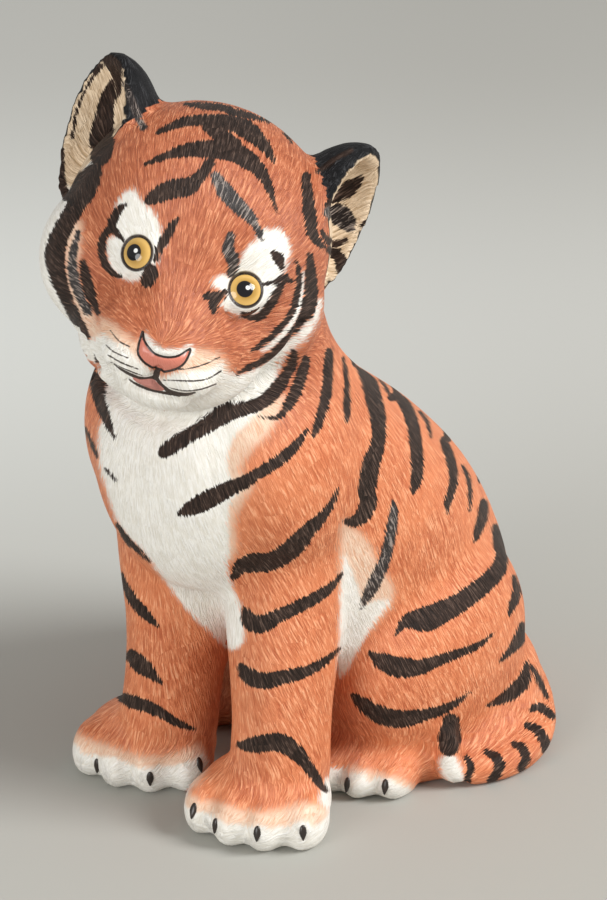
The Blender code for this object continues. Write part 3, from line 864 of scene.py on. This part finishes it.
def painted_porcelain():
    """The coat: hair streaks in rust and orange, darker in their grooves, partly as the strokes' own tone
    and partly as painted shade, and with painted highlights on their ridges; each painted field is laid
    over them.
    """
    recipe = Recipe("painted_porcelain")
    place = recipe.add("ShaderNodeTexCoord")["Object"]
    along, across = recipe.field("along", "Vector"), recipe.field("across", "Vector")
    first, first_gap = tufts(recipe, place, along, across, *TUFT_LAYERS[0])
    second, second_gap = tufts(recipe, place, along, across, *TUFT_LAYERS[1])
    share = recipe.sum("DIVIDE", first_gap, recipe.sum("ADD", first_gap, second_gap))
    share = recipe.rise(share, 0.42, 0.58)
    change = recipe.sum("MULTIPLY", share, recipe.sum("SUBTRACT", second, first))
    streak = recipe.sum("ADD", first, change)
    # Level in the hair streaks: low in their grooves, where each paint goes darker, partly as the brush
    # strokes' own tone and partly as painted shade
    tone_and_groove_shade = recipe.rise(streak, 0.34, 0.66)
    # Painted highlight: the tops of the hair streaks, which also stand highest in the bump, get lighter
    # colours
    ridge_highlight = recipe.rise(streak, 0.52, 0.68)
    cloud = recipe.add("ShaderNodeTexNoise", {"Vector": place, "Scale": 70.0, "Detail": 2.0})["Fac"]
    shaggy = recipe.sum("SUBTRACT", streak, 0.5)

    face = recipe.field("face")
    warm = recipe.mix(recipe.rise(cloud, 0.35, 0.65), RUST_CLOUD, RUST)
    deep = recipe.mix(face, warm, FACE_RUST)
    light = recipe.mix(face, ORANGE, FACE_ORANGE)
    coat = recipe.mix(tone_and_groove_shade, deep, light)
    # Painted highlight on the coat's hair ridges
    coat = recipe.mix(ridge_highlight, coat, recipe.mix(face, ORANGE_HIGHLIGHT, FACE_HIGHLIGHT))

    def covered(name, ragged, low, high):
        """1 inside a painted field, with its edge made ragged by the streaks."""
        gap = recipe.sum("ADD", recipe.field(name), recipe.sum("MULTIPLY", shaggy, ragged))
        return recipe.sum("SUBTRACT", 1.0, recipe.rise(gap, low, high))

    ear = recipe.field("ear")
    cream = recipe.mix(tone_and_groove_shade, CUP_DARK, CUP_LIGHT)
    # Ear black with a painted highlight on its hair ridges
    black = recipe.mix(ridge_highlight, EAR_BLACK, EAR_HIGHLIGHT)
    on_ears = recipe.rise(ear, 0.3, 0.6)
    coat = recipe.mix(on_ears, coat, black)
    coat = recipe.mix(recipe.rise(ear, 1.2, 1.7), coat, cream)
    white = recipe.mix(tone_and_groove_shade, WHITE_DARK, WHITE_LIGHT)
    peach = recipe.mix(tone_and_groove_shade, PEACH_DARK, PEACH_LIGHT)
    coat = recipe.mix(covered("cream", 8.0, -1.2, 1.4), coat, peach)
    coat = recipe.mix(covered("white", 5.0, -0.5, 0.9), coat, white)
    dark = recipe.mix(tone_and_groove_shade, STRIPE_DARK, STRIPE_LIGHT)
    # Stripe paint with a painted highlight on its hair ridges
    dark = recipe.mix(ridge_highlight, dark, STRIPE_HIGHLIGHT)
    ash = recipe.mix(recipe.rise(streak, 0.50, 0.60), ASH_DARK, ASH_LIGHT)
    coat = recipe.mix(covered("grey", 3.0, -0.2, 0.4), coat, ash)
    striped = covered("stripe", 2.8, -0.08, 0.30)
    coat = recipe.mix(striped, coat, dark)
    coat = recipe.mix(covered("line", 0.3, -0.03, 0.10), coat, LINE_BROWN)
    coat = recipe.mix(covered("tongue", 0.0, -0.05, 0.05), coat, TONGUE_PINK)
    lid = recipe.field("lid")
    lid_edge = recipe.sum("SUBTRACT", 1.0, recipe.rise(lid, 4.05, 4.35))
    coat = recipe.mix(lid_edge, coat, LID_BROWN)
    nose = recipe.field("nose")
    pink = recipe.sum("SUBTRACT", 1.0, recipe.rise(nose, -0.05, 0.05))
    coat = recipe.mix(pink, coat, NOSE_PINK)
    rim = recipe.sum("SUBTRACT", 1.0, recipe.rise(recipe.sum("ABSOLUTE", nose), 0.18, 0.34))
    coat = recipe.mix(rim, coat, NOSE_RIM)
    bare = recipe.sum("MINIMUM", nose, recipe.sum("SUBTRACT", lid, 4.1))
    smooth = recipe.sum("SUBTRACT", 1.0, recipe.rise(bare, 0.0, 0.3))
    height = recipe.sum("MULTIPLY", streak, recipe.sum("SUBTRACT", 1.0, smooth))
    bump = recipe.add("ShaderNodeBump", {"Strength": 0.8, "Distance": 0.0008, "Height": height})["Normal"]
    rough = recipe.sum("ADD", 0.44, recipe.sum("MULTIPLY", tone_and_groove_shade, 0.10))
    rough = recipe.sum("SUBTRACT", rough, recipe.sum("MULTIPLY", smooth, 0.2))
    sheen = recipe.sum("SUBTRACT", 0.5, recipe.sum("MULTIPLY", 0.35, striped))
    sheen = recipe.sum("SUBTRACT", sheen, recipe.sum("MULTIPLY", 0.35, on_ears))
    sheen = recipe.sum("MAXIMUM", sheen, 0.1)
    return recipe.shine(coat, rough, Normal=bump, **{"Specular IOR Level": sheen})


def eye_glaze(name, spot, axis, pupil_axis):
    """Golden iris and black pupil on a glossy eye, with a painted highlight."""
    recipe = Recipe(name)
    place = recipe.add("ShaderNodeTexCoord")["Object"]
    offset = recipe.vector("SUBTRACT", place, tuple(eye_middle(spot, axis)))

    def off_axis(direction):
        return recipe.vector("LENGTH", recipe.vector("CROSS_PRODUCT", offset, tuple(head_pose @ direction)))

    def outside(distance, radius, soft):
        return recipe.rise(distance, radius - soft, radius + soft)

    iris, pupil = off_axis(axis), off_axis(pupil_axis)
    gold = recipe.mix(recipe.rise(iris, 0.0016, 0.0036), GOLD_DARK, GOLD_LIGHT)
    eye = recipe.mix(outside(pupil, PUPIL_RADIUS, 0.00008), PUPIL_BLACK, gold)
    eye = recipe.mix(outside(iris, IRIS_RADIUS, 0.0001), eye, IRIS_EDGE)
    # Painted highlight: a small white spot a little up and to one side of the pupil
    highlight_spot = off_axis((pupil_axis + HIGHLIGHT_SHIFT).normalized())
    eye = recipe.mix(outside(highlight_spot, HIGHLIGHT_RADIUS, 0.0001), HIGHLIGHT_WHITE, eye)
    return recipe.shine(eye, 0.08)


def dark_paint(name, grain, dark, light, roughness):
    """A near-black paint with a fine cloud in it."""
    recipe = Recipe(name)
    place = recipe.add("ShaderNodeTexCoord")["Object"]
    cloud = recipe.add("ShaderNodeTexNoise", {"Vector": place, "Scale": grain})["Fac"]
    return recipe.shine(recipe.mix(cloud, dark, light), roughness)


def eyes():
    made = []
    for side, spot, axis, pupil_axis in zip(("right", "left"), IRIS_SPOTS, EYE_AXES, PUPIL_AXES):
        bm = bmesh.new()
        bmesh.ops.create_uvsphere(bm, u_segments=64, v_segments=40, radius=EYE_RADIUS)
        bm.transform(Matrix.Translation(eye_middle(spot, axis)))
        eye = object_from(bm, f"{side}_eye")
        eye.data.shade_smooth()
        eye.data.materials.append(eye_glaze(f"{side}_eye_glaze", spot, axis, pupil_axis))
        made.append(eye)
    return made


def eye_rims():
    """The dark painted lid edge, a slim ring round each eye."""
    bm = bmesh.new()
    for spot, axis in zip(IRIS_SPOTS, EYE_AXES):
        ring = bmesh.new()
        section = bmesh.ops.create_circle(ring, cap_ends=False, radius=RIM_THICKNESS, segments=14)["verts"]
        bmesh.ops.rotate(ring, verts=section, matrix=Matrix.Rotation(math.radians(90), 3, "X"))
        bmesh.ops.translate(ring, verts=section, vec=(RIM_RADIUS, 0, 0))
        bmesh.ops.spin(ring, geom=ring.verts[:] + ring.edges[:], cent=(0, 0, 0), axis=(0, 0, 1),
                       angle=2 * math.pi, steps=72, use_merge=True)
        out = head_pose @ axis
        pose = out.to_track_quat("Z", "Y").to_matrix().to_4x4()
        pose.translation = Vector(eye_middle(spot, axis)) + out * math.sqrt(EYE_RADIUS**2 - RIM_RADIUS**2)
        ring.transform(pose)
        mesh = bpy.data.meshes.new("ring")
        ring.to_mesh(mesh)
        ring.free()
        bm.from_mesh(mesh)
        bpy.data.meshes.remove(mesh)
    bmesh.ops.remove_doubles(bm, verts=bm.verts[:], dist=WELD)
    bmesh.ops.recalc_face_normals(bm, faces=bm.faces[:])
    rims = object_from(bm, "eye_rims")
    rims.data.shade_smooth()
    dark, light = (0.010, 0.008, 0.007, 1), (0.030, 0.020, 0.015, 1)
    rims.data.materials.append(dark_paint("lid_paint", 900.0, dark, light, 0.25))
    return rims


def claws(surface):
    """A small dark drop on each toe, narrowed to its tip."""
    bm = bmesh.new()
    for x, y in CLAWS:
        spot, lean = seen_at(surface, x, y)
        down = (Vector((0, 0, -1)) - lean * -lean.z).normalized()
        across = down.cross(lean)
        pose = Matrix((across, down, lean)).transposed().to_4x4()
        pose.translation = spot
        claw = bmesh.ops.create_uvsphere(bm, u_segments=16, v_segments=10, radius=1.0)["verts"]
        for vert in claw:
            vert.co.x *= 1 - 0.6 * max(vert.co.y, 0)
        bmesh.ops.scale(bm, verts=claw, vec=CLAW_HALF)
        bmesh.ops.transform(bm, verts=claw, matrix=pose)
    made = object_from(bm, "claws")
    made.data.shade_smooth()
    dark, light = (0.012, 0.009, 0.008, 1), (0.035, 0.024, 0.018, 1)
    made.data.materials.append(dark_paint("claw_paint", 700.0, dark, light, 0.3))
    return made


def floor():
    bm = bmesh.new()
    bmesh.ops.create_grid(bm, x_segments=1, y_segments=1, size=FLOOR_SIZE)
    made = object_from(bm, "floor")
    recipe = Recipe("floor_paper_painted_light")
    place = recipe.add("ShaderNodeTexCoord")["Object"]
    # Painted light on the floor: the paper's grey made brighter in a band across the middle and towards the
    # left, and darker near the camera and far off
    ahead = recipe.vector("DOT_PRODUCT", place, tuple(camera_back))
    paper_painted_light = recipe.rise(ahead, PAPER_FAR, PAPER_MIDDLE)
    side = recipe.rise(recipe.vector("DOT_PRODUCT", place, tuple(camera_right)), PAPER_LEFT, PAPER_RIGHT)
    far = recipe.mix(side, *FAR_PAPER_PAINTED_LIGHT)
    middle = recipe.mix(side, *MIDDLE_PAPER_PAINTED_LIGHT)
    near = recipe.mix(side, *NEAR_PAPER_PAINTED_LIGHT)
    paper_painted_light = recipe.mix(paper_painted_light, far, middle)
    paper_painted_light = recipe.mix(recipe.rise(ahead, PAPER_MIDDLE, PAPER_NEAR), paper_painted_light, near)
    made.data.materials.append(recipe.shine(paper_painted_light, 0.9))
    return made


def lamp(name, across, rise, towards, size, power):
    """A round soft lamp, placed right, up and towards the camera from the figure."""
    light = bpy.data.lights.new(name, "AREA")
    light.shape = "DISK"
    light.size = size
    light.energy = power
    made = bpy.data.objects.new(name, light)
    offset = camera_right * across + camera_up * rise + camera_back * towards
    made.location = VIEW_TARGET + offset
    made.rotation_euler = offset.to_track_quat("Z", "Y").to_euler()
    bpy.context.scene.collection.objects.link(made)


def set_camera():
    camera = bpy.data.cameras.new("camera")
    camera.sensor_width = SENSOR
    camera.lens = FOCAL_PIXELS * SENSOR / PICTURE_HEIGHT
    camera.clip_start = 0.01
    made = bpy.data.objects.new("camera", camera)
    bpy.context.scene.collection.objects.link(made)
    pose = Matrix((camera_right, camera_up, camera_back)).transposed().to_4x4()
    pose.translation = camera_place
    made.matrix_world = pose
    bpy.context.scene.camera = made


def set_light():
    lamp("key", across=1.1, rise=0.62, towards=0.75, size=0.7, power=23)
    lamp("fill", across=-0.75, rise=-0.2, towards=1.05, size=0.7, power=8.5)
    world = bpy.data.worlds.new("studio")
    world.use_nodes = True
    glow = world.node_tree.nodes["Background"].inputs
    glow["Color"].default_value = (1.0, 0.98, 0.95, 1)
    glow["Strength"].default_value = 0.47
    bpy.context.scene.world = world
    bpy.context.scene.view_settings.view_transform = "Standard"


set_camera()
skin = fine_skin()
surface = surface_of(skin)
at_edges = np.abs(stripe_gap(skin, surface)) < EDGE_BAND
split(skin, in_front(skin, FACE_START, FACE_LOW, FACE_HIGH) | at_edges)
split(skin, in_front(skin, MUZZLE_START, MUZZLE_LOW, MUZZLE_HIGH))
skin.data.shade_smooth()
paint(skin, surface)
skin.data.materials.clear()
skin.data.materials.append(painted_porcelain())
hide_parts("tiger_figurine")
for piece in [skin, *eyes(), eye_rims(), claws(surface)]:
    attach(piece, "root")
floor()
set_light()
